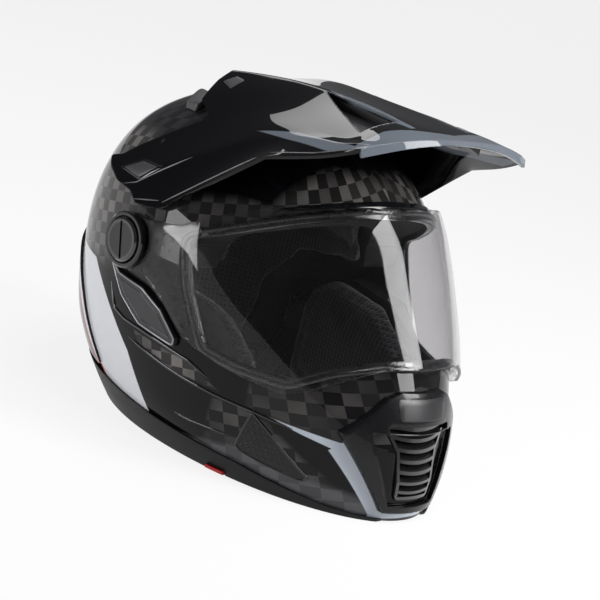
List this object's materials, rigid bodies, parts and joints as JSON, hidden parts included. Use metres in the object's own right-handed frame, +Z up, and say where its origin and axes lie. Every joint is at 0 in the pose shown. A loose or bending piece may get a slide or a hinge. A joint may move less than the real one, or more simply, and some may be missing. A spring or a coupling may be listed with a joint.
{
  "type": "dual sport helmet",
  "caption": "Full-face helmet with a fixed peak, a clear shield that lifts on side pivots, a louvred chin vent with a sliding shutter, cheek pads, liner and a chin strap with D-rings.",
  "frame": {"origin": "on the base plane that the helmet stands on, under the middle of its plan outline", "axes": "+Z up, -Y towards the chin and face, +X towards the wearer's left hand"},
  "size_m": [0.279, 0.3595, 0.2799],
  "materials": {
    "shell": "gloss lacquer over a black, grey check and white paint scheme",
    "foam": "moulded energy-absorbing foam",
    "fabric": "brushed knitted lining",
    "duct": "moulded",
    "shutter": "moulded",
    "gloss_trim": "polished black",
    "grille": "satin black",
    "rubber": "matt",
    "mechanism": "satin",
    "steel": "satin",
    "lens": "clear, polished",
    "hub": "polished",
    "knob": "satin",
    "peak": "gloss black with a grey check stripe",
    "webbing": "woven webbing",
    "tab": "red"
  },
  "bodies": {
    "helmet": {"outer_shell": "shell", "impact_liner": "foam", "comfort_liner": "fabric", "chin_vent_duct": "duct", "chin_liner": "foam", "chin_vent_cover": "gloss_trim", "chin_vent_grille": "grille", "eyeport_seal": "rubber", "brow_gutter": "gloss_trim", "base_trim": "rubber", "rear_spoiler": "gloss_trim", "side_pod_left": "gloss_trim", "side_pod_right": "gloss_trim", "base_plate_left": "mechanism", "base_plate_right": "mechanism", "plate_rivets": "steel", "crown_vent_left": "gloss_trim", "crown_vent_right": "gloss_trim", "peak": "peak", "crown_screw": "steel", "wing_fastener_left": "knob", "wing_fastener_right": "knob", "cheek_base_left": "foam", "cheek_base_right": "foam", "cheek_pad_left": "fabric", "cheek_pad_right": "fabric", "neck_roll": "fabric", "strap_anchor_left": "steel", "strap_anchor_right": "steel", "strap_left": "webbing", "strap_right": "webbing", "release_tab_left": "tab", "release_tab_right": "tab"},
    "visor": {"shield": "lens", "shield_hub_left": "hub", "shield_hub_right": "hub"},
    "knob_left": {"pivot_knob_left": "knob"},
    "knob_right": {"pivot_knob_right": "knob"},
    "vent_shutter": {"chin_vent_shutter": "shutter"},
    "inner_ring": {"inner_d_ring": "steel"},
    "outer_ring": {"outer_d_ring": "steel"}
  },
  "joints": [
    {"name": "shield_lift", "type": "hinge", "parent": "helmet", "child": "visor", "pos_m": [0, 0.038, 0.14], "axis": [-1, 0, 0], "range_deg": [0, 18]},
    {"name": "knob_turn_left", "type": "hinge", "parent": "helmet", "child": "knob_left", "pos_m": [0.132, 0.038, 0.14], "axis": [1, 0, 0], "range_deg": [0, 90]},
    {"name": "knob_turn_right", "type": "hinge", "parent": "helmet", "child": "knob_right", "pos_m": [-0.132, 0.038, 0.14], "axis": [-1, 0, 0], "range_deg": [0, 90]},
    {"name": "vent_slide", "type": "slide", "parent": "helmet", "child": "vent_shutter", "axis": [0, 0, 1], "range_m": [0, 0.0068]},
    {"name": "inner_ring_turn", "type": "hinge", "parent": "helmet", "child": "inner_ring", "pos_m": [0.023, 0.0645, 0.0046], "axis": [0, 1, 0], "range_deg": [0, 80]},
    {"name": "outer_ring_turn", "type": "hinge", "parent": "helmet", "child": "outer_ring", "pos_m": [0.03, 0.0645, 0.0046], "axis": [0, 1, 0], "range_deg": [0, 80]}
  ]
}
